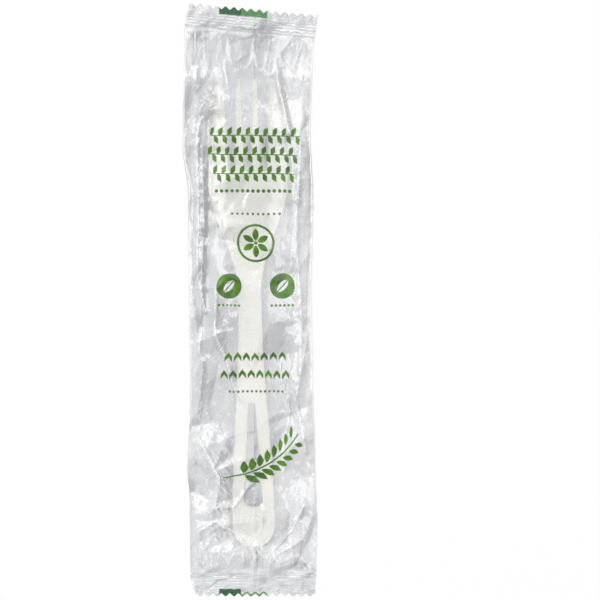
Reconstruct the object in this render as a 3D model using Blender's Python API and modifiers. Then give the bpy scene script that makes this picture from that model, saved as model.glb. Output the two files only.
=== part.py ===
# A fork sealed in a clear film wrapper, as handed out with a take-away meal.
# Two pieces: the moulded fork, and one web of film folded round it into a flat tube.
# The pack lies on its back. +Y runs to the tines, +Z is up, and the origin is the middle of its footprint.

import math

import bmesh
import bpy
from mathutils import Vector, geometry

# Fork, in metres. Distances along the fork are measured from the end of its handle.
FORK_LENGTH = 0.160
HEAD_WIDTH = 0.0275
HEAD_AT = 0.125
NECK_WIDTH = 0.0080
NECK_START = 0.078
NECK_END = 0.088
HANDLE_WIDTH = 0.0144
HANDLE_END_LENGTH = 0.0085
TINE_LENGTH = 0.0313
TINE_TIP_WIDTH = 0.0013
INNER_TINE_WIDTH = 0.0027
INNER_TINE_PITCH = 0.0057
TINE_SLOT_WIDTH = 0.0029
TINE_SLOT_ROUND = 0.0013
OUTER_TINE_SPREAD = 0.0175
HANDLE_SLOT_START = 0.0138
HANDLE_SLOT_LENGTH = 0.0359
HANDLE_SLOT_WIDE = 0.0066
HANDLE_SLOT_NARROW = 0.0025
HANDLE_SLOT_ROUND = 0.0022
HANDLE_THICKNESS = 0.0026
TIP_THICKNESS = 0.0013
ARCH_AT = 0.086
ARCH_HEIGHT = 0.0066
BOWL_AT = 0.127
TINE_RISE = 0.0088
HEAD_DISH = 0.0016
FORK_EDGE_ROUND = 0.00035
FORK_STEP = 0.0028
RING_AT = 0.0070
RING_RADIUS = 0.0037
RING_GROOVE = 0.00022

# Film wrapper, in metres.
FILM = 0.00005
FORK_CLEARANCE = 0.0003
SIDE_SLACK = 0.00975
HANDLE_GAP = 0.0092
TINE_GAP = 0.0186
SEAL_DEPTH = 0.0084
SEAL_LIFT = 0.0012
SEAL_CURL = 0.0005
RIB_PITCH = 0.0014
RIB_HEIGHT = 0.0003
TOOTH_PITCH = 0.0029
TOOTH_DEPTH = 0.0012
SAW_TRIM = 0.0003
TOP_SLANT = 0.0042
SLANT_FROM = 0.83
SIDE_FOLD_LIFT = 0.0016
REST_SHARE = 0.72
TENT_SLOPE = 0.55
TENT_EDGE = 0.0016
OPEN_BY = 0.9
AIR_OVER_HANDLE = 0.0030
AIR_OVER_HEAD = 0.0028
FIN_WIDTH = 0.0050
FIN_ROOT = 0.0007
FIN_FOLD = 0.0002
FIN_GAP = 0.00008
VENT_DIAMETER = 0.0008
VENT_FROM_SEAL = 0.0160
FORK_TURN = math.radians(0.93)
FORK_SHIFT = 0.0011

PACK_LENGTH = FORK_LENGTH + HANDLE_GAP + TINE_GAP + 2 * SEAL_DEPTH
PACK_WIDTH = HEAD_WIDTH + 2 * SIDE_SLACK

LEFT_COLUMNS = 11
FIN_COLUMNS = 3
RIGHT_COLUMNS = 9
BODY_ROWS = 39
RIBS = round(SEAL_DEPTH / RIB_PITCH)
SAME_POINT = 1e-7
FLAT_ANGLE = math.radians(0.05)

# How far each long edge of the filled pack pulls in from its widest place: (share of the length, inset).
LEFT_EDGE = (
    (0.00, 0.0044), (0.04, 0.0026), (0.16, 0.0024), (0.22, 0.0016), (0.32, 0.0025), (0.50, 0.0022),
    (0.68, 0.0018), (0.75, 0.0), (0.95, 0.0005), (1.00, 0.0020),
)
RIGHT_EDGE = (
    (0.00, 0.0014), (0.04, 0.0010), (0.12, 0.0005), (0.22, 0.0012), (0.37, 0.0020), (0.52, 0.0025),
    (0.66, 0.0019), (0.78, 0.0029), (0.90, 0.0021), (1.00, 0.0),
)

# The wrapper's large creases: height, reach to each side, and the points they run through.
# A point is (share of the half width from the middle, share of the length from the bottom end).
CREASES = (
    (0.0014, 0.0016, ((-0.79, 0.78), (-0.77, 0.66), (-0.78, 0.54), (-0.66, 0.48))),
    (-0.0010, 0.0020, ((-0.62, 0.80), (-0.60, 0.66), (-0.64, 0.54))),
    (0.0012, 0.0018, ((-0.88, 0.91), (-0.80, 0.84), (-0.84, 0.78))),
    (0.0011, 0.0020, ((-0.46, 0.94), (-0.36, 0.88), (-0.30, 0.83))),
    (0.0013, 0.0020, ((0.66, 0.95), (0.36, 0.90), (0.40, 0.86), (0.56, 0.78))),
    (-0.0009, 0.0020, ((0.50, 0.90), (0.52, 0.83), (0.66, 0.76))),
    (0.0012, 0.0018, ((0.72, 0.76), (0.68, 0.66), (0.66, 0.60), (0.74, 0.46), (0.72, 0.38))),
    (0.0012, 0.0018, ((-0.50, 0.52), (-0.52, 0.44), (-0.36, 0.40), (-0.18, 0.33))),
    (0.0013, 0.0018, ((-0.78, 0.27), (-0.46, 0.20), (-0.52, 0.155), (-0.25, 0.155), (0.0, 0.19))),
    (0.0013, 0.0018, ((-0.52, 0.155), (-0.34, 0.12), (-0.06, 0.10), (0.06, 0.07))),
    (-0.0010, 0.0022, ((-0.70, 0.16), (-0.44, 0.10), (-0.26, 0.06))),
    (0.0012, 0.0020, ((0.26, 0.055), (0.40, 0.075), (0.76, 0.10), (0.92, 0.14))),
    (-0.0010, 0.0022, ((0.46, 0.20), (0.58, 0.15), (0.52, 0.09))),
)

# Where the front film is printed: (left, right) as shares of the half width, (low, high) as shares of
# the length between the seals.
PRINT_FIELDS = (
    (-0.62, 0.70, 0.795, 0.815),
    (-0.62, 0.70, 0.765, 0.785),
    (-0.62, 0.50, 0.735, 0.755),
    (-0.44, 0.10, 0.590, 0.630),
    (0.20, 0.70, 0.590, 0.630),
    (-0.44, 0.10, 0.500, 0.540),
    (0.20, 0.70, 0.500, 0.540),
    (-0.46, 0.62, 0.385, 0.400),
    (-0.30, 0.48, 0.350, 0.365),
    (-0.38, 0.78, 0.150, 0.270),
)

CLEAR = (0.93, 0.94, 0.95, 0.35)
GREEN = (0.10, 0.30, 0.03, 1.0)
IVORY = (0.86, 0.86, 0.79, 1.0)


def ease(t):
    """0 to 1 with a level start and end."""
    t = min(max(t, 0.0), 1.0)
    return t * t * (3 - 2 * t)


def between(a, b, t):
    return a + (b - a) * t


def along(table, t):
    """The value at t of a short table of (place, value), eased from each place to the next."""
    for (t0, a), (t1, b) in zip(table, table[1:]):
        if t <= t1:
            return between(a, b, ease((t - t0) / (t1 - t0)))
    return table[-1][1]


def material(name, colour, roughness):
    made = bpy.data.materials.new(name)
    made.use_nodes = True
    shader = made.node_tree.nodes["Principled BSDF"]
    shader.inputs["Base Color"].default_value = colour
    shader.inputs["Roughness"].default_value = roughness
    shader.inputs["Metallic"].default_value = 0.0
    shader.inputs["Alpha"].default_value = colour[3]
    return made


def subtract(target, cutter):
    cutter.hide_render = True
    cutter.display_type = "WIRE"
    cut = target.modifiers.new(cutter.name, "BOOLEAN")
    cut.object = cutter
    cut.operation = "DIFFERENCE"
    cut.solver = "EXACT"


# Fork: the outline, the surface that its underside follows, and the thickness over it.


def fork_half_width(y):
    """Half the width of the fork's outline at y from the end of the handle."""
    if y < HANDLE_END_LENGTH:
        left = 1 - max(y, 0.0) / HANDLE_END_LENGTH
        return HANDLE_WIDTH / 2 * (1 - left**2.4) ** (1 / 2.4)
    if y < NECK_START:
        t = (y - HANDLE_END_LENGTH) / (NECK_START - HANDLE_END_LENGTH)
        return between(HANDLE_WIDTH, NECK_WIDTH, ease(t)) / 2
    if y < HEAD_AT:
        return between(NECK_WIDTH, HEAD_WIDTH, ease((y - NECK_END) / (HEAD_AT - NECK_END))) / 2
    t = min((y - HEAD_AT) / (FORK_LENGTH - HEAD_AT), 1.0)
    return HEAD_WIDTH / 2 - (HEAD_WIDTH / 2 - OUTER_TINE_SPREAD / 2 - TINE_TIP_WIDTH / 2) * t**1.5


def fork_thickness(y):
    return between(HANDLE_THICKNESS, TIP_THICKNESS, ease((y - NECK_START) / (FORK_LENGTH - NECK_START)))


def fork_underside(x, y):
    """Height of the underside: it touches down at the handle's end and under the bowl."""
    if y < ARCH_AT:
        lift = ARCH_HEIGHT * ease(y / ARCH_AT)
    elif y < BOWL_AT:
        lift = ARCH_HEIGHT * (1 - ease((y - ARCH_AT) / (BOWL_AT - ARCH_AT)))
    else:
        lift = TINE_RISE * ((y - BOWL_AT) / (FORK_LENGTH - BOWL_AT)) ** 1.7
    across = x / (HEAD_WIDTH / 2)
    dish = ease((y - NECK_END) / (BOWL_AT - NECK_END))
    if y > BOWL_AT:
        dish *= 1 - 0.6 * ease((y - BOWL_AT) / (FORK_LENGTH - BOWL_AT))
    return lift + HEAD_DISH * dish * across * across


def arc(centre_x, centre_y, radius_x, radius_y, start, end, steps):
    """Points on an ellipse from start to end, in degrees."""
    angles = [math.radians(between(start, end, k / steps)) for k in range(steps + 1)]
    return [(centre_x + radius_x * math.cos(a), centre_y + radius_y * math.sin(a)) for a in angles]


def straight(start, end, step):
    """Points from start up to, and without, end."""
    count = max(1, round(math.dist(start, end) / step))
    return [(between(start[0], end[0], k / count), between(start[1], end[1], k / count)) for k in range(count)]


def fork_outline():
    """The outer loop of the fork, anticlockwise from the middle of the handle's end."""
    tip = TINE_TIP_WIDTH / 2
    root = FORK_LENGTH - TINE_LENGTH
    shoulder = root + TINE_SLOT_ROUND
    inner = INNER_TINE_PITCH / 2
    outer = OUTER_TINE_SPREAD / 2
    slot_far = inner + INNER_TINE_WIDTH / 2 + TINE_SLOT_WIDTH
    slot_near = inner + INNER_TINE_WIDTH / 2
    tip_y = FORK_LENGTH - tip
    right = [(fork_half_width(y), y) for y in (0.0002, 0.0008, 0.002, 0.004, 0.0062)]
    side_rows = round((tip_y - HANDLE_END_LENGTH) / FORK_STEP)
    for k in range(side_rows):
        y = between(HANDLE_END_LENGTH, tip_y, k / side_rows)
        right.append((fork_half_width(y), y))
    right += arc(outer, tip_y, tip, tip, 0, 180, 4)
    right += straight((outer - tip, tip_y), (slot_far, shoulder), FORK_STEP)[1:]
    middle = (slot_far + slot_near) / 2
    right += arc(middle, shoulder, (slot_far - slot_near) / 2, TINE_SLOT_ROUND, 0, -180, 6)
    right += straight((slot_near, shoulder), (inner + tip, tip_y), FORK_STEP)[1:]
    right += arc(inner, tip_y, tip, tip, 0, 180, 4)
    base = inner - INNER_TINE_WIDTH / 2
    right += straight((inner - tip, tip_y), (base, shoulder), FORK_STEP)[1:]
    right += arc(0, shoulder, base, TINE_SLOT_ROUND, 0, -90, 3)
    left = [(-x, y) for x, y in reversed(right[:-1])]
    return right + left


def handle_slot_outline():
    """The loop of the tapered slot in the handle: broad towards the end, narrow towards the neck."""
    low = HANDLE_SLOT_START + HANDLE_SLOT_ROUND
    high = HANDLE_SLOT_START + HANDLE_SLOT_LENGTH - HANDLE_SLOT_NARROW / 2
    wide, narrow = HANDLE_SLOT_WIDE / 2, HANDLE_SLOT_NARROW / 2
    loop = arc(0, low, wide, HANDLE_SLOT_ROUND, -180, 0, 10)
    loop += straight((wide, low), (narrow, high), FORK_STEP)[1:]
    loop += arc(0, high, narrow, narrow, 0, 180, 6)
    loop += straight((-narrow, high), (-wide, low), FORK_STEP)[1:]
    return loop


def inside(point, loop):
    """True if the point is within the closed loop."""
    x, y = point
    crossings = 0
    for (x0, y0), (x1, y1) in zip(loop, loop[1:] + loop[:1]):
        if (y0 > y) != (y1 > y) and x < x0 + (y - y0) / (y1 - y0) * (x1 - x0):
            crossings += 1
    return crossings % 2 == 1


def clear_of(point, loops, gap):
    return all(math.dist(point, corner) > gap for loop in loops for corner in loop)


def fork_height(y):
    """Height of the fork's upper face along its middle."""
    return fork_underside(0.0, y) + fork_thickness(y)


def ring_cutter(fork, helpers):
    """The round mark by the end of the handle is a plain groove."""
    bpy.ops.mesh.primitive_torus_add(
        major_radius=RING_RADIUS, minor_radius=RING_GROOVE, major_segments=28, minor_segments=6
    )
    ring = bpy.context.object
    ring.name = "ring_groove"
    for collection in list(ring.users_collection):
        collection.objects.unlink(ring)
    helpers.objects.link(ring)
    ring.parent = fork
    ring.location = (0, RING_AT, fork_height(RING_AT))
    rise = fork_height(RING_AT + RING_RADIUS) - fork_height(RING_AT - RING_RADIUS)
    ring.rotation_euler.x = math.atan(rise / (2 * RING_RADIUS))
    return ring


def make_fork(helpers):
    outer, slot = fork_outline(), handle_slot_outline()
    points, edges = [], []
    for loop in (outer, slot):
        first = len(points)
        points += loop
        edges += [(first + k, first + (k + 1) % len(loop)) for k in range(len(loop))]
    rows = int(FORK_LENGTH / FORK_STEP)
    columns = int(HEAD_WIDTH / 2 / FORK_STEP) + 1
    for row in range(1, rows):
        for column in range(-columns, columns + 1):
            spot = (column * FORK_STEP, row * FORK_STEP)
            if inside(spot, outer) and not inside(spot, slot) and clear_of(spot, (outer, slot), FORK_STEP * 0.6):
                points.append(spot)
    flat, _, faces, *_ = geometry.delaunay_2d_cdt([Vector(p) for p in points], edges, [], 0, 1e-7)
    mesh = bpy.data.meshes.new("fork")
    kept = []
    for face in faces:
        middle = sum((flat[k] for k in face), Vector((0, 0))) / len(face)
        if inside(middle, outer) and not inside(middle, slot):
            kept.append(face)
    mesh.from_pydata([(p.x, p.y, fork_underside(p.x, p.y)) for p in flat], [], kept)
    fork = bpy.data.objects.new("fork", mesh)
    thickness = fork.vertex_groups.new(name="thickness")
    for vertex in mesh.vertices:
        thickness.add([vertex.index], fork_thickness(vertex.co.y) / HANDLE_THICKNESS, "REPLACE")
    wall = fork.modifiers.new("wall", "SOLIDIFY")
    wall.thickness = HANDLE_THICKNESS
    wall.offset = 1
    wall.vertex_group = thickness.name
    edge = fork.modifiers.new("rounded_edges", "BEVEL")
    edge.width = FORK_EDGE_ROUND
    edge.segments = 1
    edge.limit_method = "ANGLE"
    edge.angle_limit = math.radians(50)
    subtract(fork, ring_cutter(fork, helpers))
    mesh.materials.append(material("ivory_bioplastic", IVORY, 0.42))
    fork.location = fork_seat()
    fork.rotation_euler.z = FORK_TURN
    return fork


def fork_seat():
    """Where the end of the handle lies: over the back film, with the clearance under it."""
    start = -PACK_LENGTH / 2 + SEAL_DEPTH + HANDLE_GAP
    return Vector((FORK_SHIFT, start, back_lift() + FILM + FORK_CLEARANCE))


# Wrapper: the film is worked out as a front height and a back height over the plan of the pack.


def back_lift():
    """Height of the back film where it passes over the folded fin."""
    return 2 * FILM + FIN_GAP


def bottom_end(x):
    return -PACK_LENGTH / 2


def top_end(x):
    """The upper end is cut a little askew: the left corner is the highest."""
    return PACK_LENGTH / 2 - TOP_SLANT * (x / PACK_WIDTH + 0.5)


def body_end():
    """Where the upper seal starts, in the middle of the pack."""
    return top_end(0.0) - SEAL_DEPTH


def left_edge(y):
    return -PACK_WIDTH / 2 + along(LEFT_EDGE, y / PACK_LENGTH + 0.5)


def right_edge(y):
    return PACK_WIDTH / 2 - along(RIGHT_EDGE, y / PACK_LENGTH + 0.5)


def plan_columns():
    """Where the film's columns stand in a pack of full width, with one at each edge of the fin."""
    half = PACK_WIDTH / 2
    stops = (
        (-half, FIN_ROOT, LEFT_COLUMNS),
        (FIN_ROOT, FIN_ROOT + FIN_WIDTH, FIN_COLUMNS),
        (FIN_ROOT + FIN_WIDTH, half, RIGHT_COLUMNS),
    )
    columns = [between(a, b, k / count) for a, b, count in stops for k in range(count)]
    return columns + [half]


def body_shares():
    """Rows between the seals: one at each edge of the print, and enough between them."""
    stops = sorted({0.0, 1.0}.union(*(field[2:] for field in PRINT_FIELDS)))
    shares = []
    for a, b in zip(stops, stops[1:]):
        count = max(1, round((b - a) * BODY_ROWS))
        shares += [between(a, b, k / count) for k in range(count)]
    return shares + [1.0]


def plan_rows():
    """The film's rows: (share of the body's length, distance into the bottom seal, into the top seal)."""
    steps = 2 * RIBS
    rows = [(0.0, SEAL_DEPTH * (1 - k / steps), 0.0) for k in range(steps)]
    rows += [(share, 0.0, 0.0) for share in body_shares()]
    rows += [(1.0, 0.0, SEAL_DEPTH * (k + 1) / steps) for k in range(steps)]
    return rows


def plan_point(column, row):
    """The place on the table under one corner of the film."""
    share, low, high = row
    slant = TOP_SLANT * column / PACK_WIDTH * max(0.0, (share - SLANT_FROM) / (1 - SLANT_FROM))
    y = between(bottom_end(column) + SEAL_DEPTH, body_end(), share) - slant - low + high
    half = PACK_WIDTH / 2
    fin_edge = FIN_ROOT + FIN_WIDTH
    if column < FIN_ROOT:
        x = between(left_edge(y), FIN_ROOT, (column + half) / (FIN_ROOT + half))
    elif column > fin_edge:
        x = between(fin_edge, right_edge(y), (column - fin_edge) / (half - fin_edge))
    else:
        x = column
    return x, y


def across_share(x, y):
    """-1 at the left edge of the pack, 1 at the right edge."""
    left, right = left_edge(y), right_edge(y)
    return 2 * (x - left) / (right - left) - 1


def openness(row, handle_ramp, tine_ramp):
    """0 in a seal and 1 where the tube is fully open, a ramp's length further on."""
    body = PACK_LENGTH - 2 * SEAL_DEPTH
    return min(row[0] * body / handle_ramp, (1 - row[0]) * body / tine_ramp, 1.0)


def front_openness(row):
    """The front slopes down to each seal over most of the gap beyond the fork."""
    return ease(openness(row, OPEN_BY * HANDLE_GAP, OPEN_BY * TINE_GAP))


def back_openness(row):
    """The back and the side folds lift off the table only near the seals."""
    ramp = OPEN_BY * min(HANDLE_GAP, TINE_GAP)
    return openness(row, ramp, ramp)


def seal_height(x, row):
    """The end seals stand clear of the table, curl a little, and hold the level ribs of the crimp jaws."""
    _, low, high = row
    curl = SEAL_CURL * math.cos(2.2 * math.pi * x / (PACK_WIDTH / 2))
    rib = RIB_HEIGHT / 2 * math.cos(2 * math.pi * RIBS * (low + high) / SEAL_DEPTH)
    return SEAL_LIFT + curl + rib


def distance_to(x, y, a, b):
    """Distance from a point to the stretch from a to b."""
    dx, dy = b[0] - a[0], b[1] - a[1]
    t = ((x - a[0]) * dx + (y - a[1]) * dy) / (dx * dx + dy * dy)
    t = min(max(t, 0.0), 1.0)
    return math.hypot(x - a[0] - t * dx, y - a[1] - t * dy)


def crease_height(x, y):
    """The sum of the sharp-backed creases at a place on the front film."""
    total = 0.0
    for height, reach, points in CREASES:
        line = [(a * PACK_WIDTH / 2, (b - 0.5) * PACK_LENGTH) for a, b in points]
        nearest = min(distance_to(x, y, a, b) for a, b in zip(line, line[1:]))
        total += height * math.exp(-nearest / reach)
    return total


def fork_place(x, y):
    """A place in the pack, measured in the fork's own plan."""
    seat = fork_seat()
    dx, dy = x - seat.x, y - seat.y
    cosine, sine = math.cos(FORK_TURN), math.sin(FORK_TURN)
    return dx * cosine + dy * sine, dy * cosine - dx * sine


def fork_cover(x, y):
    """The lowest that the front film may hang: over the fork, then down in a straight tent to the table."""
    across, lengthways = fork_place(x, y)
    along_fork = min(max(lengthways, 0.0), FORK_LENGTH)
    half = fork_half_width(max(along_fork, HANDLE_END_LENGTH)) + TENT_EDGE
    beyond = max(abs(across) - half, 0.0)
    past_end = max(lengthways - FORK_LENGTH - TENT_EDGE, -lengthways - TENT_EDGE, 0.0)
    top = fork_underside(half, along_fork) + fork_thickness(along_fork)
    height = fork_seat().z + top + 2 * FORK_CLEARANCE + FILM
    return height - TENT_SLOPE * (beyond + past_end)


def air_height(y):
    """Height of the film over the middle of the pack, riding on the fork with some air under it."""
    _, lengthways = fork_place(0.0, y)
    handle = HANDLE_THICKNESS + AIR_OVER_HANDLE
    head = TIP_THICKNESS + AIR_OVER_HEAD
    peaks = (
        (-HANDLE_GAP, handle),
        (HANDLE_END_LENGTH * 2, handle),
        (ARCH_AT, ARCH_HEIGHT + handle),
        (BOWL_AT, ARCH_HEIGHT + head),
        (FORK_LENGTH, TINE_RISE + head),
        (FORK_LENGTH + TINE_GAP, TINE_RISE + head),
    )
    return fork_seat().z + along(peaks, lengthways)


def back_height(x, y, row, lift):
    """The back film: flat on the table, lifted over the fin, and up to the side folds and the seals."""
    share = abs(across_share(x, y))
    rise = SIDE_FOLD_LIFT * max((share - REST_SHARE) / (1 - REST_SHARE), 0.0)
    return between(seal_height(x, row) - FILM, rise, back_openness(row)) + lift


def front_height(x, y, row):
    share = abs(across_share(x, y))
    vault = max(1 - share**2.2, 0.0) ** 0.75
    free = between(SIDE_FOLD_LIFT, air_height(y), vault) + crease_height(x, y) * min(1.0, 6 * (1 - share))
    body = max(free, fork_cover(x, y), SIDE_FOLD_LIFT + back_lift())
    return between(seal_height(x, row) + FILM + back_lift(), body, front_openness(row))


def rim_height(x, row):
    """Height of the side folds, where front and back meet."""
    return between(seal_height(x, row), SIDE_FOLD_LIFT, back_openness(row))


def front_film():
    """The front film, as rows of points."""
    grid = []
    for row in plan_rows():
        line = []
        for column in plan_columns():
            x, y = plan_point(column, row)
            line.append(Vector((x, y, front_height(x, y, row))))
        for edge in (0, -1):
            line[edge].z = rim_height(line[edge].x, row)
        grid.append(line)
    return grid


def back_film(front, inner):
    """The back film, as rows of points that share their ends with the front film.
    From outside, it runs on from the left into the fin, doubles back at the fin's edge, and passes over it.
    From inside, it only steps up over the fin's root.
    """
    columns = plan_columns()
    fin = columns[LEFT_COLUMNS : LEFT_COLUMNS + FIN_COLUMNS + 1]
    grid = []
    for row, front_line in zip(plan_rows(), front):
        line = [front_line[0].copy()]

        def add(column, lift, shift=0.0):
            x, y = plan_point(column, row)
            line.append(Vector((x + shift, y, back_height(x, y, row, lift))))

        for column in columns[1:LEFT_COLUMNS]:
            add(column, 0.0)
        if inner:
            for column in fin:
                add(column, back_lift())
        else:
            for column in (fin[0], fin[-1]):
                add(column, 0.0)
            add(fin[-1], 2 * FILM)
            add(fin[0], 2 * FILM, FIN_FOLD)
            add(fin[0], back_lift(), FIN_FOLD)
            for column in fin[1:]:
                add(column, back_lift())
        for column in columns[LEFT_COLUMNS + FIN_COLUMNS + 1 : -1]:
            add(column, 0.0)
        line.append(front_line[-1].copy())
        grid.append(line)
    return grid


def hollow_grids(front):
    """The inside of the tube: one film's thickness in from the outside, from seal to seal."""
    rows = slice(2 * RIBS, len(front) - 2 * RIBS)
    wall = Vector((0, 0, FILM))
    top = [[p - wall for p in line] for line in front[rows]]
    floor = [[p + wall for p in line] for line in back_film(front, True)[rows]]
    for high, low in zip(top, floor):
        for edge, beside in ((0, 1), (-1, -2)):
            fold = high[edge] + wall
            mouth = (high[beside] + low[beside]) / 2
            high[edge] = low[edge] = fold.lerp(mouth, 0.35)
    for end in (0, -1):
        for high, low in zip(top[end], floor[end]):
            high.z = low.z = (high.z + low.z) / 2
    return top, floor


def printed(corner, opposite):
    """True if the cell between two corners of the front film lies in one of the printed fields."""
    x, y = (corner.x + opposite.x) / 2, (corner.y + opposite.y) / 2
    share = x / (PACK_WIDTH / 2)
    bottom = bottom_end(x) + SEAL_DEPTH
    length = (y - bottom) / (body_end() - bottom)
    return any(a <= share <= b and low <= length <= high for a, b, low, high in PRINT_FIELDS)


def skin(name, front, back):
    """One closed mesh from a front and a back grid whose sides meet, with a face across each open end.
    Each cell is split towards the nearest corner, so that no triangle lies in the rim.
    """
    work = bmesh.new()
    ends = []
    for grid, up in ((front, True), (back, False)):
        made = [[work.verts.new(p) for p in line] for line in grid]
        ends.append((made[0], made[-1]))
        rows, columns = len(made) - 1, len(made[0]) - 1
        for r in range(rows):
            for c in range(columns):
                a, b = made[r][c], made[r][c + 1]
                d, e = made[r + 1][c], made[r + 1][c + 1]
                rising = (r < rows / 2) == (c < columns / 2)
                for corners in ((a, b, e), (a, e, d)) if rising else ((a, b, d), (b, e, d)):
                    face = work.faces.new(corners if up else corners[::-1])
                    face.material_index = int(up and printed(a.co, e.co))
    bmesh.ops.remove_doubles(work, verts=work.verts, dist=SAME_POINT)
    work.verts.ensure_lookup_table()
    rim = [edge for edge in work.edges if edge.is_boundary]
    if rim:
        bmesh.ops.holes_fill(work, edges=rim, sides=0)
    bmesh.ops.recalc_face_normals(work, faces=work.faces)
    return finished(name, work)


def finished(name, work):
    mesh = bpy.data.meshes.new(name)
    work.to_mesh(mesh)
    work.free()
    return bpy.data.objects.new(name, mesh)


def saw_cutter(name, end_line, outward):
    """What the serrated knife takes off one end: everything past a row of V teeth."""
    teeth = math.ceil(PACK_WIDTH / TOOTH_PITCH) + 2
    line = []
    for k in range(2 * teeth + 1):
        x = (k / 2 - teeth / 2) * TOOTH_PITCH
        line.append((x, end_line(x) - outward * (SAW_TRIM + TOOTH_DEPTH * (k % 2))))
    far = outward * (PACK_LENGTH / 2 + SEAL_DEPTH)
    corners = line + [(line[-1][0], far), (line[0][0], far)]
    work = bmesh.new()
    face = work.faces.new([work.verts.new((x, y, -SEAL_DEPTH)) for x, y in corners])
    raised = bmesh.ops.extrude_face_region(work, geom=[face])["geom"]
    top = [part for part in raised if isinstance(part, bmesh.types.BMVert)]
    bmesh.ops.translate(work, verts=top, vec=(0, 0, 2 * SEAL_DEPTH))
    bmesh.ops.recalc_face_normals(work, faces=work.faces)
    return finished(name, work)


def vent_cutter():
    """A pin prick through the back film, beside the fin, lets the air out of the sealed tube."""
    radius = VENT_DIAMETER / 2
    work = bmesh.new()
    bmesh.ops.create_cone(work, cap_ends=True, segments=12, radius1=radius, radius2=radius, depth=VENT_DIAMETER)
    bottom = bottom_end(0) + SEAL_DEPTH
    bmesh.ops.translate(work, verts=work.verts, vec=(FIN_ROOT - FIN_WIDTH, bottom + VENT_FROM_SEAL, 0))
    return finished("vent_pin", work)


def make_wrapper(helpers):
    front = front_film()
    wrapper = skin("wrapper", front, back_film(front, False))
    wrapper.data.materials.append(material("clear_film", CLEAR, 0.12))
    wrapper.data.materials.append(material("green_ink", GREEN, 0.35))
    for cutter in (
        skin("tube_hollow", *hollow_grids(front)),
        vent_cutter(),
        saw_cutter("bottom_saw", bottom_end, -1),
        saw_cutter("top_saw", top_end, 1),
    ):
        helpers.objects.link(cutter)
        subtract(wrapper, cutter)
    flats = wrapper.modifiers.new("flats", "DECIMATE")
    flats.decimate_type = "DISSOLVE"
    flats.angle_limit = FLAT_ANGLE
    flats.delimit = {"MATERIAL"}
    return wrapper


def main():
    for old in list(bpy.data.objects):
        bpy.data.objects.remove(old)
    pack = bpy.data.collections.new("cutlery_pack")
    helpers = bpy.data.collections.new("cutters")
    for collection in (pack, helpers):
        bpy.context.scene.collection.children.link(collection)
    helpers.hide_render = True
    pack.objects.link(make_fork(helpers))
    pack.objects.link(make_wrapper(helpers))


main()
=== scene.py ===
# A fork sealed in a clear, crumpled film wrapper, lying on its back on a pale table.
# In metres: +Y runs to the tines, +Z is up, and the origin is the middle of the pack's footprint.

import math

import bmesh
import bpy
import numpy as np
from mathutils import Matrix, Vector, geometry
from mathutils.bvhtree import BVHTree


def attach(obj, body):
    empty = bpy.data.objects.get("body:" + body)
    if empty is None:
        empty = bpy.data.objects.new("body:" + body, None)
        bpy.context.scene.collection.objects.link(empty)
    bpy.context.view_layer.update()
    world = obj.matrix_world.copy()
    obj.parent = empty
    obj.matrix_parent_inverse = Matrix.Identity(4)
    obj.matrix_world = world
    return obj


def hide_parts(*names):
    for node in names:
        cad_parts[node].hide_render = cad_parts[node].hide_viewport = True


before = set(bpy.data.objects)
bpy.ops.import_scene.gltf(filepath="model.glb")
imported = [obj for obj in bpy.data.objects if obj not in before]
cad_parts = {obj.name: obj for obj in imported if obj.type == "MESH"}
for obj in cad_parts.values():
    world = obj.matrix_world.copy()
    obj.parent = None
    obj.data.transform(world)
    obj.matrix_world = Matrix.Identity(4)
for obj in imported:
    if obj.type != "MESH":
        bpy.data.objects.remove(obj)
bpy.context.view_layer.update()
mm = 0.001
print("frame loaded:", ", ".join(sorted(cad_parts)))

fork = {
    "length": 160.0 * mm,
    "headWidth": 27.5 * mm,
    "headAt": 125.0 * mm,
    "neckWidth": 8.0 * mm,
    "neckStart": 78.0 * mm,
    "neckEnd": 88.0 * mm,
    "handleWidth": 14.4 * mm,
    "endLength": 8.5 * mm,
    "endRoundness": 2.4,
    "tineLength": 31.3 * mm,
    "tipWidth": 1.3 * mm,
    "innerTineWidth": 2.7 * mm,
    "innerTinePitch": 5.7 * mm,
    "slotWidth": 2.9 * mm,
    "slotRound": 1.3 * mm,
    "outerSpread": 17.5 * mm,
    "holeStart": 13.8 * mm,
    "holeLength": 35.9 * mm,
    "holeWide": 6.6 * mm,
    "holeNarrow": 2.5 * mm,
    "holeRound": 2.2 * mm,
    "handleThickness": 2.6 * mm,
    "tipThickness": 1.3 * mm,
    "archAt": 86.0 * mm,
    "archHeight": 6.6 * mm,
    "bowlAt": 127.0 * mm,
    "tineRise": 8.8 * mm,
    "dish": 1.6 * mm,
    "edgeRound": 0.42 * mm,
    "edgeSteps": 3,
    "bevelFrom": math.radians(50),
    "sharpFrom": math.radians(38),
    "ringAt": 7.0 * mm,
    "ringRadius": 3.7 * mm,
    "ringGroove": 0.24 * mm,
    "step": 1.1 * mm,
    "turn": math.radians(0.93),
    "shift": 1.1 * mm,
}

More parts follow.
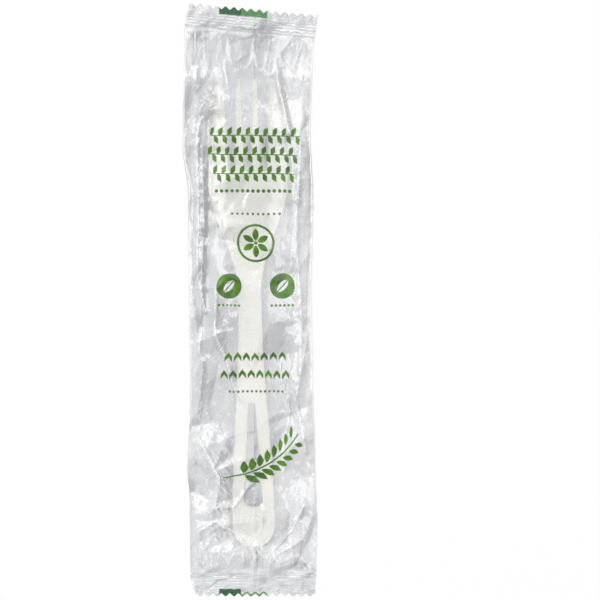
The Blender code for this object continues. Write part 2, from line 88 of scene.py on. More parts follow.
film = {
    "sheet": 0.05 * mm,
    "clearance": 0.3 * mm,
    "sideSlack": 9.75 * mm,
    "handleGap": 9.2 * mm,
    "tineGap": 18.6 * mm,
    "sealDepth": 8.4 * mm,
    "sealLift": 1.2 * mm,
    "sealCurl": 0.5 * mm,
    "sawTrim": 0.3 * mm,
    "topSlant": 4.2 * mm,
    "slantFrom": 0.83,
    "sideLift": 1.6 * mm,
    "restShare": 0.72,
    "tentSlope": 0.55,
    "tentEdge": 1.0 * mm,
    "tentRound": 4.0 * mm,
    "tentPasses": 36,
    "coverClearances": 3.2,
    "openBy": 0.9,
    "gathering": 0.42,
    "wakeRamp": 3.0 * mm,
    "heldShare": 0.4,
    # how the fork's painted shadow greys the film beside it, and where along the tines that fades
    "shadeFull": 0.5,
    "shadeReach": 2.4 * mm,
    "shadeTo": 130.0 * mm,
    "shadeFade": 14.0 * mm,
    "airOverHandle": 3.0 * mm,
    "airOverHead": 2.8 * mm,
    "finWidth": 5.0 * mm,
    "finRoot": 0.7 * mm,
    "finFold": 0.2 * mm,
    "finGap": 0.08 * mm,
    # how slopes and bends turn into painted light and shade, and the share of them that the back shows
    "litFrom": math.radians(125),
    "litGain": 2.4,
    "steepFrom": 0.22,
    "steepSpan": 0.9,
    "leastBend": 0.12,
    "fullBend": 2400,
    "backShare": 0.5,
    # how far the print moves with the relief, as a share of its height
    "printSlip": 0.3,
    "sharpFrom": math.radians(42),
    # nets of facets: spacing across and along, slope, seed of the random draws
    "frontNets": (
        (7.5 * mm, 12.0 * mm, 0.16, 5), (3.6 * mm, 6.0 * mm, 0.19, 8), (1.7 * mm, 2.3 * mm, 0.19, 21),
    ),
    "sealNets": ((4.2 * mm, 2.4 * mm, 0.10, 77), (2.0 * mm, 1.5 * mm, 0.09, 78)),
    "backNets": ((2.6 * mm, 4.4 * mm, 0.30, 34), (6.5 * mm, 11.0 * mm, 0.12, 55)),
    # seed of the random draws, how many out of each seal, height
    "pleats": (3, 22, 1.0 * mm),
    # from the left side to the fin's root, over the fin, and on to the right side
    "columns": (49, 11, 36),
    "finColumns": 4,
    "sealRows": 34,
    "bodyRows": 396,
    # how far each long edge pulls in from the widest place: (share of the length, inset)
    "leftEdge": (
        (0.00, 4.4 * mm), (0.04, 2.6 * mm), (0.16, 2.4 * mm), (0.22, 1.6 * mm), (0.32, 2.5 * mm),
        (0.50, 2.2 * mm), (0.68, 1.8 * mm), (0.75, 0.0), (0.95, 0.5 * mm), (1.00, 2.0 * mm),
    ),
    "rightEdge": (
        (0.00, 1.4 * mm), (0.04, 1.0 * mm), (0.12, 0.5 * mm), (0.22, 1.2 * mm), (0.37, 2.0 * mm),
        (0.52, 2.5 * mm), (0.66, 1.9 * mm), (0.78, 2.9 * mm), (0.90, 2.1 * mm), (1.00, 0.0),
    ),
}
film["length"] = fork["length"] + film["handleGap"] + film["tineGap"] + 2 * film["sealDepth"]
film["width"] = fork["headWidth"] + 2 * film["sideSlack"]

# Creases in the front film: height, reach to each side, and the points they run through, in millimetres.
creases = (
    (1.4, 1.6, ((-18.6, 57), (-18.1, 33), (-18.3, 8), (-15.5, -4))),
    (-1.0, 2.0, ((-14.6, 61), (-14.1, 33), (-15.0, 8))),
    (1.2, 1.8, ((-20.7, 84), (-18.8, 70), (-19.7, 57))),
    (1.1, 2.0, ((-10.8, 90), (-8.5, 78), (-7.0, 68))),
    (1.3, 2.0, ((15.5, 92), (8.5, 82), (9.4, 74), (13.2, 57))),
    (-0.9, 2.0, ((11.8, 82), (12.2, 68), (15.5, 53))),
    (1.2, 1.8, ((16.9, 53), (16.0, 33), (15.5, 20), (17.4, -8), (16.9, -25))),
    (1.2, 1.8, ((-11.8, 4), (-12.2, -12), (-8.5, -20), (-4.2, -35))),
    (1.3, 1.8, ((-18.3, -47), (-10.8, -61), (-12.2, -71), (-5.9, -71), (0.0, -63))),
    (1.3, 1.8, ((-12.2, -71), (-8.0, -78), (-1.4, -82), (1.4, -88))),
    (-1.0, 2.2, ((-16.5, -70), (-10.3, -82), (-6.1, -90))),
    (1.2, 2.0, ((6.1, -91), (9.4, -87), (17.9, -82), (21.6, -74))),
    (-1.0, 2.2, ((10.8, -61), (13.6, -72), (12.2, -84))),
    # finer ones
    (0.55, 0.7, ((1.2, -66), (1.3, -80), (1.6, -94))),
    (0.45, 0.7, ((3.8, -64), (3.9, -80), (3.4, -94))),
    (0.6, 0.8, ((-15.1, -54), (-8.2, -67))),
    (0.6, 0.8, ((-13.0, -52), (-7.5, -61))),
    (-0.5, 0.8, ((-14.2, -53), (-7.8, -64))),
    (0.7, 0.8, ((-17.5, -79), (-12.0, -76), (-9.4, -78))),
    (0.7, 0.9, ((-18.0, -80), (-17.0, -90), (-14.5, -93))),
    (0.5, 0.8, ((-14.0, -74), (-11.2, -86))),
    (0.6, 0.8, ((8.5, -85), (14.2, -79), (18.2, -70))),
    (0.5, 0.8, ((10.5, -90), (16.5, -88), (20.5, -92))),
    (0.6, 0.9, ((-17.0, 86), (-18.8, 76), (-17.4, 66), (-18.3, 50))),
    (0.45, 0.8, ((-13.5, 88), (-14.8, 77), (-13.0, 70))),
    (0.5, 0.8, ((17.5, 88), (14.8, 79), (19.5, 70))),
    (0.5, 0.8, ((13.4, 76), (18.2, 66), (16.8, 57))),
    (0.45, 0.8, ((13.8, 50), (14.8, 28), (13.6, 10))),
    (0.5, 0.8, ((-16.6, 52), (-16.1, 28), (-16.9, 4), (-17.8, -18))),
    (0.5, 0.8, ((-19.0, -8), (-16.4, -24), (-18.6, -42))),
    (0.6, 0.9, ((18.6, -16), (15.4, -34), (18.8, -52))),
    (-0.5, 0.9, ((-11.0, -22), (-13.8, -36), (-11.2, -50))),
    (0.55, 0.8, ((9.8, -22), (13.2, -38), (11.0, -54))),
)

# Where the film is crushed into small facets: middle and reach in millimetres, then how much.
crumpled = (
    (-14.2, 66, 5.5, 8, 1.0), (0.0, 64, 11, 5, 0.75), (13.5, 79, 5.5, 12, 0.8), (-17.0, 82, 4.5, 10, 0.6),
    (17.5, 48, 3.5, 18, 0.55), (-18.5, 34, 3.5, 30, 0.45), (16.5, 0, 4.5, 22, 0.5), (-9.5, -17, 6, 16, 0.45),
    (-15.5, -48, 5.5, 16, 0.65), (-3.5, -69, 13, 8, 0.5), (13.0, -75, 8.5, 14, 0.6), (0.0, -90, 20, 5, 0.9),
    (-13.0, -88, 7, 7, 0.9), (13.0, -32, 5, 14, 0.4),
)
# Where it is pulled smooth, in the same form.
taut = ((-0.5, 85, 9.5, 9, 0.9), (1.5, 44, 9, 16, 0.45), (0.5, -78, 5.5, 10, 0.45))

# Where it is painted whiter and less clear, as painted highlight, in the same form.
paintedSheenSpots = (
    (13.6, 80, 6.5, 12, 1.0), (12.5, 62, 5, 8, 0.7), (-17.5, 30, 1.6, 30, 0.3), (-18.8, 78, 2.0, 9, 0.4),
    (-9.5, -12, 3.0, 16, 0.6), (-9.0, 88, 3.0, 3.0, 0.9), (15.0, 2, 3.5, 24, 0.5), (14.0, -50, 6, 20, 0.5),
    (-15.5, -66, 4, 12, 0.6), (-6.0, -84, 8, 6, 0.6), (16, -84, 5, 6, 0.6), (0, 64, 9, 4, 0.6),
)

# Where it is painted darker and less clear, as painted shade, in the same form.
paintedShadeSpots = (
    (-10.5, -8, 5.5, 10, 1.0), (-21.3, 40, 2.0, 40, 0.8), (-13.5, 66, 5.0, 9, 0.7), (-1, 85, 11, 8, 1.0),
    (-15.5, -30, 4.5, 12, 0.6), (20.5, 40, 2.5, 24, 0.8), (1.0, -69, 3.0, 3.5, 0.9), (12, -20, 4, 12, 0.5),
    (-21.5, -50, 1.8, 40, 0.6), (17.5, -92, 3, 3, 0.8), (-8.0, -62, 4, 5, 0.6), (11.5, 60, 2.2, 8, 0.6),
    (0.5, 32, 9.5, 10, 1.0), (-18.2, 24, 3.5, 24, 0.8),
    # painted shadow over the three gaps at the roots of the tines
    (-6.5, 51, 1.0, 7, 1.3), (-0.5, 51, 1.0, 7, 1.3), (5.1, 51, 1.0, 7, 1.3),
)


def ease(t):
    t = np.clip(t, 0.0, 1.0)
    return t * t * (3 - 2 * t)


def blend(a, b, t):
    return a + (b - a) * t


def readTable(table, t):
    # a short table of (place, value), eased from each place to the next
    places, values = np.array(table, float).T
    k = np.clip(np.searchsorted(places, t, side="right") - 1, 0, len(places) - 2)
    return blend(values[k], values[k + 1], ease((t - places[k]) / (places[k + 1] - places[k])))


def smoothMax(a, b, width):
    # never lower than the higher of the two
    return (a + b + np.sqrt((a - b) ** 2 + width**2)) / 2


# Node trees

class Wire:
    # a node's output that joins in plain arithmetic, each sign adding its Math node
    def __init__(self, board, socket):
        self.board = board
        self.socket = socket

    def math(self, operation, *others, clamp=False):
        settings = {"operation": operation, "use_clamp": clamp}
        return self.board.add("ShaderNodeMath", settings, dict(enumerate((self, *others))))

    def __add__(self, other):
        return self.math("ADD", other)

    def __mul__(self, other):
        return self.math("MULTIPLY", other)

    def __sub__(self, other):
        return self.math("SUBTRACT", other)

    def __truediv__(self, other):
        return self.math("DIVIDE", other)

    def __rsub__(self, other):
        return self.math("MULTIPLY", -1) + other

    def __neg__(self):
        return self.math("MULTIPLY", -1)

    def __abs__(self):
        return self.math("ABSOLUTE")

    __radd__ = __add__
    __rmul__ = __mul__


class Board:
    # a node tree that nodes are laid out on
    def __init__(self, tree):
        self.tree = tree

    def put(self, socket, value):
        if isinstance(value, Wire):
            self.tree.links.new(value.socket, socket)
        else:
            socket.default_value = value

    def add(self, kind, settings, sockets, output=0):
        node = self.tree.nodes.new(kind)
        for name, value in settings.items():
            setattr(node, name, value)
        for key, value in sockets.items():
            self.put(node.inputs[key], value)
        return Wire(self, node.outputs[output])

    def parts(self, vector):
        return [self.add("ShaderNodeSeparateXYZ", {}, {0: vector}, axis) for axis in "XYZ"]

    def colour(self, factor, a, b):
        return self.add("ShaderNodeMix", {"data_type": "RGBA"}, {0: factor, 6: a, 7: b}, 2)

    def noise(self, place, scale, detail=3.0):
        return self.add("ShaderNodeTexNoise", {}, {"Vector": place, "Scale": scale, "Detail": detail})

    def attribute(self, name, output="Fac"):
        return self.add("ShaderNodeAttribute", {"attribute_name": name}, {}, output)


class Finish(Board):
    # a material on the Principled shader
    def __init__(self, name):
        self.material = bpy.data.materials.new(name)
        self.material.use_nodes = True
        super().__init__(self.material.node_tree)
        self.shader = self.tree.nodes["Principled BSDF"]

    def place(self):
        return self.add("ShaderNodeTexCoord", {}, {}, "Object")

    def set(self, values):
        for name, value in values.items():
            self.put(self.shader.inputs[name], value)

    def bump(self, height, strength, distance):
        sockets = {"Height": height, "Strength": strength, "Distance": distance}
        self.set({"Normal": self.add("ShaderNodeBump", {}, sockets)})

    def cover(self, share, over):
        # a second shader laid over the first
        sockets = {0: share, 1: Wire(self, self.shader.outputs[0]), 2: over}
        both = self.add("ShaderNodeMixShader", {}, sockets)
        self.put(self.tree.nodes["Material Output"].inputs["Surface"], both)


def placed(name, data):
    made = bpy.data.objects.new(name, data)
    bpy.context.scene.collection.objects.link(made)
    return made


def plainMesh(obj, name):
    # the object as its modifiers leave it, in a new object with none
    graph = bpy.context.evaluated_depsgraph_get()
    mesh = bpy.data.meshes.new_from_object(obj.evaluated_get(graph))
    mesh.transform(obj.matrix_world)
    bpy.data.objects.remove(obj)
    return placed(name, mesh)


# Print on the film: a generic leafy pattern, laid out in millimetres on the flat web

ink = {
    "soft": 0.16,  # width of the edge of the ink
    # height on the pack, left end, right end
    "garlands": ((55.9, -14.1, 17.1), (49.4, -14.9, 16.3), (42.9, -13.0, 15.08)),
    "garlandPitch": 3.12,
    "garlandLeaf": (2.05, 0.88),
    # height, left end, right end, pitch, radius
    "dotRows": (
        (37.0, -12.6, 14.4, 1.8, 0.60), (29.2, -7.2, 10.8, 1.8, 0.42), (-31.3, -7.8, 11.7, 1.5, 0.40),
        (-1.9, -11.4, -3.0, 1.4, 0.42), (-1.9, 6.7, 15.1, 1.4, 0.42),
    ),
    "chevronRows": ((-19.6, -8.9, 12.1), (-25.6, -10.4, 13.6)),
    "chevronPitch": 3.0,
    # middle and radius
    "blossom": (1.8, 19.2, 6.2),
    "discs": ((-7.2, 4.6, 4.3), (10.9, 4.6, 4.3)),
    # middle, half length, turn
    "sprig": (6.2, -54.6, 12.6, math.radians(33)),
    # left end, where its tone changes, right end
    "mark": (-10.9, -3.4, 5.6),
    "markTop": 2.9,
    "markBottom": 2.6,
}


def covered(distance):
    # 1 inside the shape and 0 outside, with a soft edge
    return (distance * (-1 / ink["soft"])).math("ADD", 0.5, clamp=True)


def joined(shapes):
    total = shapes[0]
    for shape in shapes[1:]:
        total = total.math("MAXIMUM", shape)
    return total


def length(x, y):
    return (x * x + y * y).math("SQRT")


def turned(x, y, angle):
    c, s = math.cos(angle), math.sin(angle)
    return x * c + y * s, y * c - x * s


def leafShape(x, y, half, wide):
    # two arcs that meet in a point at each end, long in x
    radius = (half * half + wide * wide) / (2 * wide)
    return length(x, abs(y) + (radius - wide)) - radius


def spaced(x, left, pitch):
    # the place within one cell of a row, and the number of the cell
    cell = ((x - left) / pitch).math("FLOOR")
    return x - left - (cell + 0.5) * pitch, cell


def span(x, left, right):
    # below zero between the two ends
    return abs(x - (left + right) / 2) - (right - left) / 2


def garland(x, y, row, left, right):
    half, wide = ink["garlandLeaf"]
    beside, cell = spaced(x, left, ink["garlandPitch"] / 2)
    side = 1 - 2 * (cell.math("FLOORED_MODULO", 2))
    across = (y - row) * side
    lean = turned(beside + 0.1, across - 1.25, math.radians(52))
    shape = leafShape(lean[0], lean[1], half, wide)
    stem = abs(y - row) - 0.16
    return covered(shape.math("MINIMUM", stem).math("MAXIMUM", span(x, left, right)))


def dots(x, y, row, left, right, pitch, radius):
    beside, _ = spaced(x, left, pitch)
    return covered((length(beside, y - row) - radius).math("MAXIMUM", span(x, left, right)))


def chevrons(x, y, row, left, right):
    beside, _ = spaced(x, left, ink["chevronPitch"])
    stroke = abs(y - row + abs(beside) * 1.3 - 0.9) - 0.78
    limited = stroke.math("MAXIMUM", abs(beside) - ink["chevronPitch"] * 0.40)
    return covered(limited.math("MAXIMUM", span(x, left, right)))


def blossom(x, y, centreX, centreY, radius):
    # a ring round a flower of six petals
    dx, dy = x - centreX, y - centreY
    far = length(dx, dy)
    ring = abs(far - radius) - 0.38
    sector = math.radians(60)
    angle = dy.math("ARCTAN2", dx).math("FLOORED_MODULO", sector) - sector / 2
    along, across = far * angle.math("COSINE"), far * angle.math("SINE")
    petal = leafShape(along - radius * 0.47, across, radius * 0.34, radius * 0.17)
    return covered(ring.math("MINIMUM", petal).math("MINIMUM", far - radius * 0.1))


def disc(x, y, centreX, centreY, radius):
    # a filled disc with a bare leaf in it
    dx, dy = turned(x - centreX, y - centreY, math.radians(48))
    bare = leafShape(dx, dy, radius * 0.66, radius * 0.30)
    vein = abs(dy) - 0.2
    return covered((length(dx, dy) - radius).math("MAXIMUM", -(bare.math("MAXIMUM", -vein))))


def sprig(x, y, centreX, centreY, reach, angle):
    # a bent stem with pairs of leaves, smaller towards the tip
    dx, dy = turned(x - centreX, y - centreY, angle)
    bent = dy - dx * dx * 0.018 + 1.3
    pitch = reach / 4.5
    beside, cell = spaced(dx, -reach, pitch)
    taper = 1.12 - (cell + 0.5) * (pitch * 0.022)
    lean = turned(beside - 0.35, abs(bent) - 2.6, math.radians(48))
    leaves = leafShape(lean[0] / taper, lean[1] / taper, 3.0, 1.15) * taper
    leaves = leaves.math("MAXIMUM", span(dx, pitch - reach, reach))
    stem = (abs(bent) - 0.26).math("MAXIMUM", span(dx, -reach * 1.25, reach * 1.05))
    return covered(leaves.math("MINIMUM", stem))


def printedInk(x, y):
    shapes = [garland(x, y, *row) for row in ink["garlands"]]
    shapes += [dots(x, y, *row) for row in ink["dotRows"]]
    shapes += [chevrons(x, y, *row) for row in ink["chevronRows"]]
    shapes += [disc(x, y, *spot) for spot in ink["discs"]]
    shapes += [blossom(x, y, *ink["blossom"]), sprig(x, y, *ink["sprig"])]
    return joined(shapes)


# Materials

looks = {
    "ivory": (0.925, 0.920, 0.868, 1),
    "ivoryDeep": (0.885, 0.876, 0.806, 1),
    "filmBody": (0.56, 0.57, 0.60, 1),
    # painted highlight colour of the film
    "filmPaintedHighlight": (0.91, 0.91, 0.92, 1),
    # painted shade colour of the film, also the greyer seals
    "filmPaintedShadeAndSeal": (0.20, 0.21, 0.235, 1),
    # the back ply's colour, darkened as painted shadow of the pack on the table
    "filmBackPaintedShade": (0.34, 0.35, 0.375, 1),
    "green": (0.036, 0.128, 0.001, 1),
    "greenLight": (0.110, 0.290, 0.012, 1),
    "mark": (0.020, 0.100, 0.040, 1),
    "markLight": (0.110, 0.300, 0.100, 1),
    "filmAlpha": 0.25,
    "filmIor": 2.35,
}


def ivoryFinish():
    finish = Finish("ivoryBioplastic")
    place = finish.place()
    cloud = finish.noise(place, 55.0, 4.0)
    speck = finish.noise(place, 900.0, 2.0)
    swirl = finish.noise(place, 190.0, 3.0)
    tone = (cloud * 0.7 + swirl * 0.3 - 0.36).math("MULTIPLY", 2.6, clamp=True)
    finish.set({
        "Base Color": finish.colour(tone, looks["ivory"], looks["ivoryDeep"]),
        "Roughness": 0.36 + swirl * 0.16,
        "IOR": 1.46,
    })
    finish.bump(speck * 0.6 + swirl * 0.4, 0.22, 0.00008)
    return finish.material


def crumpleTexture(finish, place, size, seed):
    # how far each place is from the nearest of scattered points, and from the border between two
    shift = finish.add("ShaderNodeVectorMath", {"operation": "ADD"}, {0: place, 1: (seed, seed * 0.7, 0)})
    cells = {"Vector": shift, "Scale": 1 / size, "Randomness": 1.0}
    return [
        finish.add("ShaderNodeTexVoronoi", {"feature": feature, "voronoi_dimensions": "2D"}, cells)
        for feature in ("F1", "DISTANCE_TO_EDGE")
    ]


def filmFinish():
    finish = Finish("clearFilm")
    place = finish.place()
    ridge, steep = finish.attribute("ridge"), finish.attribute("steep")
    valley, crush = finish.attribute("valley"), finish.attribute("crush")
    paintedSheen, paintedShade, lit = finish.attribute("paintedSheen"), finish.attribute("paintedShade"), finish.attribute("lit")
    crimp = finish.attribute("crimp").math("GREATER_THAN", 0.0)
    webX, webY, front = finish.parts(finish.attribute("web", "Vector"))
    x, y = webX * 1000, webY * 1000

    haze = finish.noise(place, 90.0, 3.0)
    warp = finish.add("ShaderNodeTexNoise", {}, {"Vector": place, "Scale": 160.0, "Detail": 2.0}, "Color")
    warp = finish.add("ShaderNodeVectorMath", {"operation": "SCALE"}, {0: warp, "Scale": 0.0018})
    stretched = {0: place, 1: (1.0, 0.62, 1.0), 2: warp}
    bent = finish.add("ShaderNodeVectorMath", {"operation": "MULTIPLY_ADD"}, stretched)
    coarseFar, coarseEdge = crumpleTexture(finish, bent, 0.0042, 0.31)
    fineFar, fineEdge = crumpleTexture(finish, bent, 0.0017, 0.87)
    # thin painted highlight lines along the edges of the crushed facets
    lines = (1 - coarseEdge * 22).math("MAXIMUM", 0.0) * (haze - 0.36).math("MULTIPLY", 3.0, clamp=True)
    lines = lines * (crush * 1.6 + 0.2).math("MINIMUM", 1.0)
    lines = lines + (1 - fineEdge * 11).math("MAXIMUM", 0.0) * crush * 0.7
    cling = finish.attribute("cling")
    lines = lines.math("MINIMUM", 1.0) * (1 - cling)

    # painted light and shade: the side of a fold facing litFrom is painted whiter, the side turned away
    # darker
    towards, away = lit.math("MAXIMUM", 0.0), (-lit).math("MAXIMUM", 0.0)
    # painted highlight on ridges, crease lines, patches and lit sides, less under painted shade
    white = (ridge + lines * 0.55 + paintedSheen * 0.60 + towards * 0.55 - paintedShade * 0.25).math("MAXIMUM", 0.0)
    # painted shade in hollows, on steep slopes, on sides turned from the light and under painted shadow; the
    # seals are also greyer for their two plies
    dark = valley * 0.6 + steep * 0.4 + away * 0.75 + paintedShade * 0.7 + crimp * 0.2
    body = finish.colour(front, looks["filmBackPaintedShade"], looks["filmBody"])
    body = finish.colour(dark.math("MINIMUM", 1.0), body, looks["filmPaintedShadeAndSeal"])
    body = finish.colour(white.math("MINIMUM", 1.0), body, looks["filmPaintedHighlight"])
    # the film is less clear under the same painted highlight and shade, and on the back as painted shadow
    clear = looks["filmAlpha"] + steep * 0.22 + ridge * 0.34 + lines * 0.18 + paintedSheen * 0.20 + paintedShade * 0.11
    clear = clear + away * 0.15 + towards * 0.06 + haze * 0.14 - 0.08 + crimp * 0.07 + (1 - front) * 0.06
    clear = clear * (1 - finish.attribute("tucked") * 0.85) * (1 - cling * 0.5)
    finish.set({
        "Base Color": body,
        "Alpha": clear.math("MINIMUM", 0.95),
        "Roughness": 0.10 + haze * 0.16,
        "IOR": looks["filmIor"],
    })
    grain = finish.noise(place, 700.0, 4.0)
    relief = coarseFar * (0.12 + crush) * 0.46 + fineFar * crush * 0.24 + grain * 0.04
    finish.bump(relief * (1 - cling * 0.75), 1.0, 0.00075)
    addInk(finish, place, x, y, front.math("GREATER_THAN", 0.5), white)
    return finish.material


def addInk(finish, place, x, y, onFront, white):
    # the print, and the cutter's mark that runs off both ends, as a second shader over the film
    printed = printedInk(x, y)
    patchy = finish.noise(place, 260.0, 2.0)
    # pale: the ink's own patchiness, plus painted highlight where the film's painted highlight runs over the
    # print
    pale = (patchy * 2.4 + white * 0.7 - 1.05).math("MAXIMUM", 0.0).math("MINIMUM", 1.0)
    green = finish.colour(pale, looks["green"], looks["greenLight"])
    markLeft, markSplit, markRight = ink["mark"]
    pastSplit = (x - markSplit).math("GREATER_THAN", 0.0)
    endTop, endBottom = finish.attribute("endTop") * 1000, finish.attribute("endBottom") * 1000
    strip = (endTop - ink["markTop"]).math("MINIMUM", endBottom - ink["markBottom"] * (1 - pastSplit * 0.68))
    mark = covered(strip.math("MAXIMUM", span(x, markLeft, markRight)))
    # the mark's own two tones, with the same painted highlight over them
    markPale = (pastSplit * 0.8 + pale * 0.5 - 0.1).math("MAXIMUM", 0.0)
    markTone = finish.colour(markPale, looks["mark"], looks["markLight"])
    inked = finish.add("ShaderNodeBsdfPrincipled", {}, {
        "Base Color": finish.colour(mark, green, markTone), "Roughness": 0.3, "IOR": 1.42, "Alpha": 0.97,
    })
    finish.cover(printed.math("MAXIMUM", mark) * onFront, inked)


def surface(name, colour, strength):
    # a plain pale ground that reads white to the camera and still takes the shadow
    finish = Finish(name)
    rays = ("Is Camera Ray", "Is Glossy Ray", "Is Transmission Ray")
    seen = joined([finish.add("ShaderNodeLightPath", {}, {}, ray) for ray in rays])
    finish.set({"Base Color": colour, "Roughness": 0.9})
    glow = finish.add("ShaderNodeEmission", {}, {"Color": (1, 1, 1, 1), "Strength": 1.0})
    finish.cover(seen * strength, glow)
    return finish.material


# Fork

def forkHalfWidth(y):
    f = fork
    left = 1 - np.clip(y / f["endLength"], 0, 1)
    end = f["handleWidth"] / 2 * (1 - left ** f["endRoundness"]) ** (1 / f["endRoundness"])
    handleShare = ease((y - f["endLength"]) / (f["neckStart"] - f["endLength"]))
    handle = blend(f["handleWidth"], f["neckWidth"], handleShare) / 2
    head = blend(f["neckWidth"], f["headWidth"], ease((y - f["neckEnd"]) / (f["headAt"] - f["neckEnd"]))) / 2
    tip = (f["outerSpread"] + f["tipWidth"]) / 2
    past = np.clip((y - f["headAt"]) / (f["length"] - f["headAt"]), 0, 1)
    tines = f["headWidth"] / 2 - (f["headWidth"] / 2 - tip) * past**1.5
    return np.select([y < f["endLength"], y < f["neckStart"], y < f["headAt"]], [end, handle, head], tines)


def forkThickness(y):
    share = ease((y - fork["neckStart"]) / (fork["length"] - fork["neckStart"]))
    return blend(fork["handleThickness"], fork["tipThickness"], share)


def forkUnderside(x, y):
    f = fork
    rising = f["archHeight"] * ease(y / f["archAt"])
    falling = f["archHeight"] * (1 - ease((y - f["archAt"]) / (f["bowlAt"] - f["archAt"])))
    past = np.clip((y - f["bowlAt"]) / (f["length"] - f["bowlAt"]), 0, None)
    lift = np.select([y < f["archAt"], y < f["bowlAt"]], [rising, falling], f["tineRise"] * past**1.7)
    dish = ease((y - f["neckEnd"]) / (f["bowlAt"] - f["neckEnd"])) * (1 - 0.6 * ease(past))
    return lift + f["dish"] * dish * (x / (f["headWidth"] / 2)) ** 2


def arc(x, y, radiusX, radiusY, start, end, steps):
    angles = np.radians(np.linspace(start, end, steps + 1))
    return list(zip(x + radiusX * np.cos(angles), y + radiusY * np.sin(angles)))


def straight(start, end):
    # points from start up to, and without, end
    count = max(1, round(math.dist(start, end) / fork["step"]))
    return [tuple(blend(np.array(start), np.array(end), k / count)) for k in range(count)]


def forkOutline():
    f = fork
    tip = f["tipWidth"] / 2
    shoulder = f["length"] - f["tineLength"] + f["slotRound"]
    inner, outer = f["innerTinePitch"] / 2, f["outerSpread"] / 2
    near = inner + f["innerTineWidth"] / 2
    far = near + f["slotWidth"]
    tipY = f["length"] - tip
    angles = np.radians(np.linspace(4, 90, 14))
    rows = f["endLength"] * (1 - np.cos(angles) ** (2 / f["endRoundness"]))
    rows = np.concatenate([rows, np.arange(f["endLength"] + f["step"], tipY, f["step"])])
    right = list(zip(forkHalfWidth(rows), rows))
    right += arc(outer, tipY, tip, tip, 0, 180, 8)
    right += straight((outer - tip, tipY), (far, shoulder))[1:]
    right += arc((far + near) / 2, shoulder, (far - near) / 2, f["slotRound"], 0, -180, 12)
    right += straight((near, shoulder), (inner + tip, tipY))[1:]
    right += arc(inner, tipY, tip, tip, 0, 180, 8)
    base = inner - f["innerTineWidth"] / 2
    right += straight((inner - tip, tipY), (base, shoulder))[1:]
    right += arc(0, shoulder, base, f["slotRound"], 0, -90, 6)
    return right + [(-x, y) for x, y in reversed(right[:-1])]


def holeOutline():
    f = fork
    low = f["holeStart"] + f["holeRound"]
    wide, narrow = f["holeWide"] / 2, f["holeNarrow"] / 2
    high = f["holeStart"] + f["holeLength"] - narrow
    loop = arc(0, low, wide, f["holeRound"], -180, 0, 22)
    loop += straight((wide, low), (narrow, high))[1:]
    loop += arc(0, high, narrow, narrow, 0, 180, 12)
    return loop + straight((-narrow, high), (-wide, low))[1:]


def within(points, loop):
    # which of the points lie inside the closed loop
    x, y = points[:, 0], points[:, 1]
    odd = np.zeros(len(points), bool)
    for (x0, y0), (x1, y1) in zip(loop, loop[1:] + loop[:1]):
        if y0 != y1:
            odd ^= ((y0 > y) != (y1 > y)) & (x < x0 + (y - y0) / (y1 - y0) * (x1 - x0))
    return odd


def netOver(loops, fill):
    # a flat triangle net bounded by the loops, with the fill points inside it
    points, edges = [], []
    for loop in loops:
        first = len(points)
        points += loop
        edges += [(first + k, first + (k + 1) % len(loop)) for k in range(len(loop))]
    points += list(map(tuple, fill))
    flat, _, faces, *_ = geometry.delaunay_2d_cdt([Vector(p) for p in points], edges, [], 0, 1e-7)
    return np.array([tuple(p) for p in flat]), faces


def forkMesh():
    outer, hole = forkOutline(), holeOutline()
    step = fork["step"]
    columns = np.arange(-math.ceil(fork["headWidth"] / 2 / step), math.ceil(fork["headWidth"] / 2 / step) + 1)
    rows = np.arange(1, int(fork["length"] / step))
    fill = np.array([((c + (r % 2) / 2) * step, r * step) for r in rows for c in columns])
    corners = np.array(outer + hole)
    fill = fill[within(fill, outer) & ~within(fill, hole)]
    gaps = np.array([np.hypot(*(corners - p).T).min() for p in fill])
    flat, faces = netOver((outer, hole), fill[gaps > step * 0.6])
    middles = np.array([flat[list(face)].mean(0) for face in faces])
    kept = within(middles, outer) & ~within(middles, hole)
    mesh = bpy.data.meshes.new("forkNet")
    heights = forkUnderside(flat[:, 0], flat[:, 1])
    inside = [face for face, keep in zip(faces, kept) if keep]
    mesh.from_pydata(np.column_stack([flat, heights]).tolist(), [], inside)
    return mesh


def forkSeat():
    start = -film["length"] / 2 + film["sealDepth"] + film["handleGap"]
    return Vector((fork["shift"], start, backLift() + film["sheet"] + film["clearance"]))


